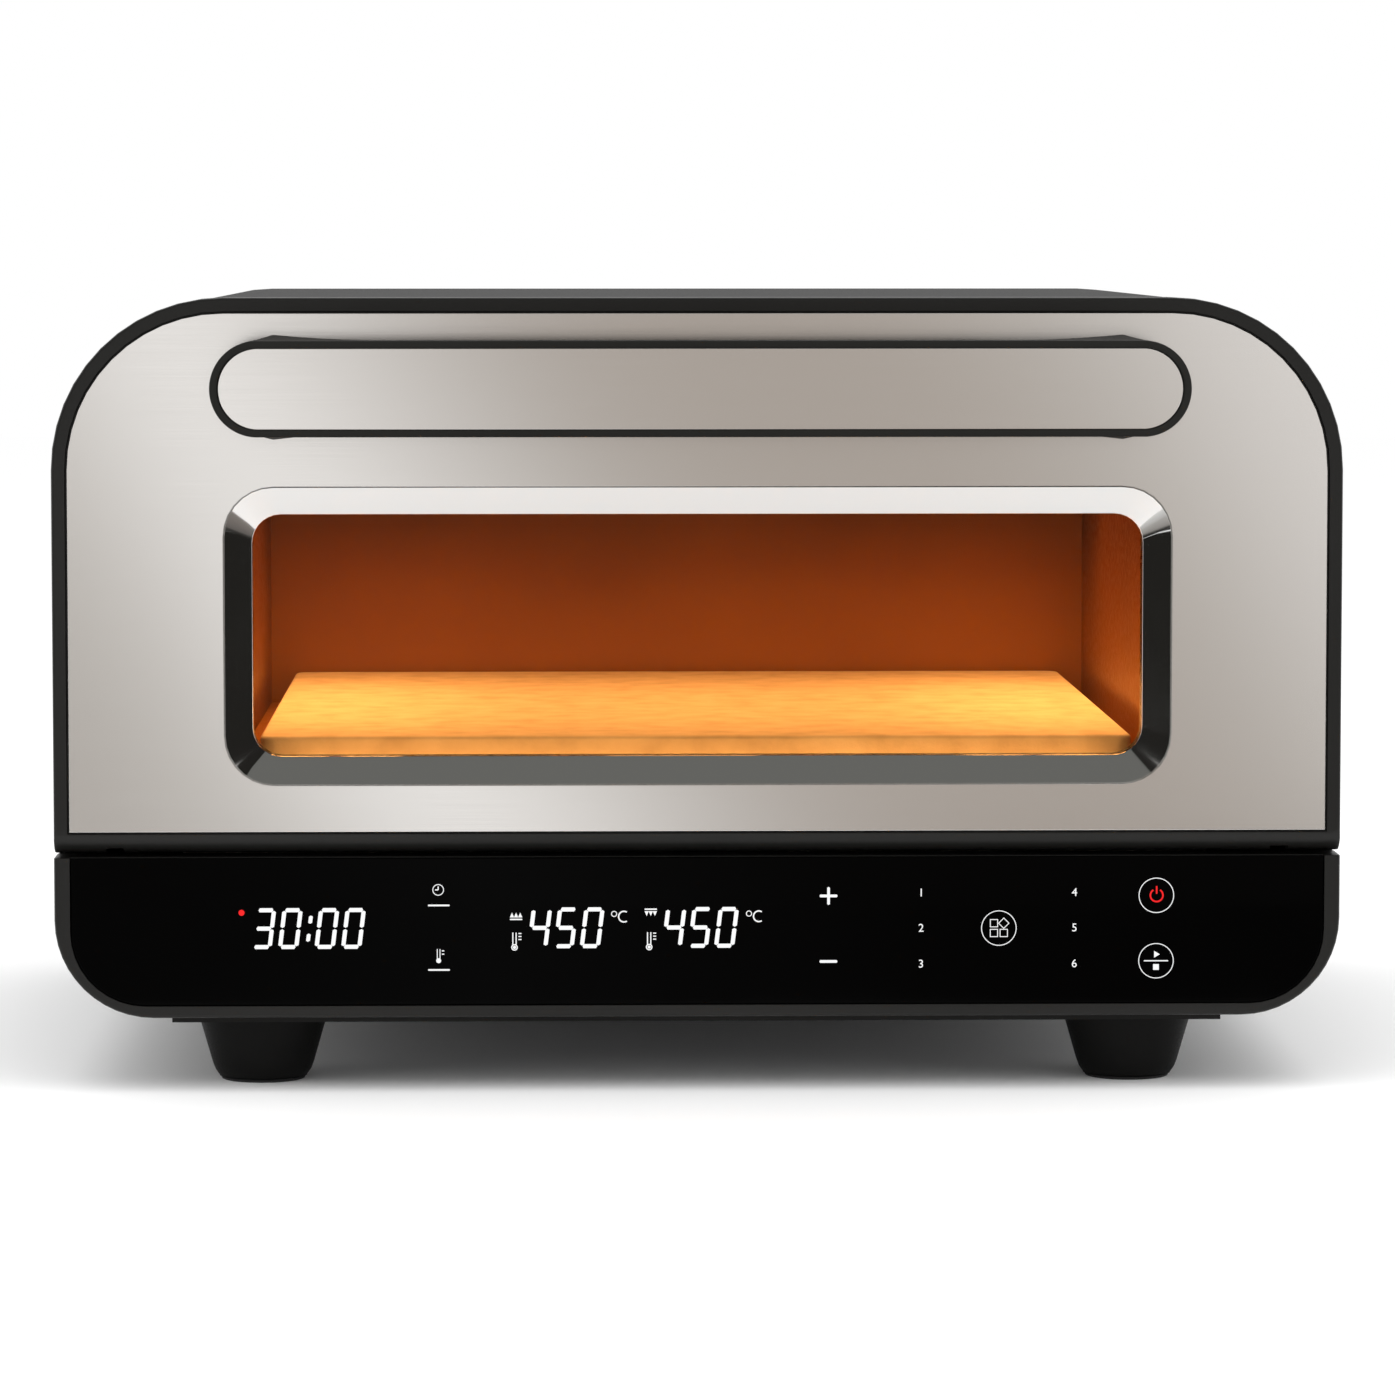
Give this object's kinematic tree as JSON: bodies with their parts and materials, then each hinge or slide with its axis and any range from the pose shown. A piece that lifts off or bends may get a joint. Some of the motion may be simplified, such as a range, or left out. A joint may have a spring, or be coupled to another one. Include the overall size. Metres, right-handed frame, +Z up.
{
  "type": "countertop pizza oven",
  "caption": "Countertop electric pizza oven with a drop-down windowed door, a bar handle, touch glass controls, a baking stone and heating elements above and below it.",
  "frame": {"origin": "on the table, under the middle of the bounding box", "axes": "+X to the right as seen from the front, +Y towards the back, +Z up; the door faces -Y"},
  "size_m": [0.47, 0.443, 0.2906],
  "materials": {
    "black_plastic": "fine satin moulding",
    "black_steel": "satin black paint",
    "brushed_steel": "brushed along the width",
    "polished_steel": "polished",
    "bare_steel": "bare sheet",
    "black_glass": "gloss black, printed behind",
    "clear_glass": "clear toughened glass",
    "rubber": "matt",
    "fibre": "matted glass fibre",
    "stone": "fired cordierite, matt",
    "circuit_board": "green lacquer",
    "display": "dark filter",
    "component": "moulded case",
    "ceramic": "unglazed"
  },
  "bodies": {
    "chassis": {"base_plate": "bare_steel", "cavity_liner": "bare_steel", "control_glass": "black_glass", "control_housing": "black_plastic", "cord_gland": "black_plastic", "display_board": "circuit_board", "door_gasket": "fibre", "fan_frame": "black_plastic", "foot_front_left": "black_plastic", "foot_front_right": "black_plastic", "foot_pad_front_left": "rubber", "foot_pad_front_right": "rubber", "foot_pad_rear_left": "rubber", "foot_pad_rear_right": "rubber", "foot_rear_left": "black_plastic", "foot_rear_right": "black_plastic", "front_frame": "black_steel", "hinge_bracket_left": "bare_steel", "hinge_bracket_right": "bare_steel", "insulation": "fibre", "lamp_bulb": "clear_glass", "lamp_holder": "ceramic", "lamp_lens": "clear_glass", "lower_heater": "bare_steel", "lower_heater_support": "bare_steel", "lower_relay": "component", "lower_sensor": "polished_steel", "outer_shell": "black_steel", "pizza_stone": "stone", "power_board": "circuit_board", "rear_panel": "black_steel", "stone_rail_left": "bare_steel", "stone_rail_right": "bare_steel", "temperature_display": "display", "terminal_block": "ceramic", "thermal_cutout": "ceramic", "time_display": "display", "touch_board": "circuit_board", "transformer": "black_plastic", "upper_heater": "bare_steel", "upper_heater_hanger": "bare_steel", "upper_relay": "component", "upper_sensor": "polished_steel"},
    "door": {"door_frame": "black_plastic", "door_skin": "brushed_steel", "window_bezel": "polished_steel", "outer_glass": "clear_glass", "glass_spacer": "black_steel", "inner_glass": "clear_glass", "door_inner_panel": "bare_steel", "handle_body": "black_plastic", "handle_inlay": "brushed_steel", "handle_screw_left": "polished_steel", "handle_screw_right": "polished_steel", "hinge_pin_left": "polished_steel", "hinge_pin_right": "polished_steel"},
    "fan": {"fan_rotor": "black_plastic"}
  },
  "joints": [
    {"name": "door_hinge", "type": "hinge", "parent": "chassis", "child": "door", "pos_m": [0, -0.1725, 0.097], "axis": [1, 0, 0], "range_deg": [0, 90]},
    {"name": "fan_spin", "type": "hinge", "parent": "chassis", "child": "fan", "pos_m": [-0.11, 0.2122, 0.0527], "axis": [0, 1, 0], "continuous": true}
  ]
}
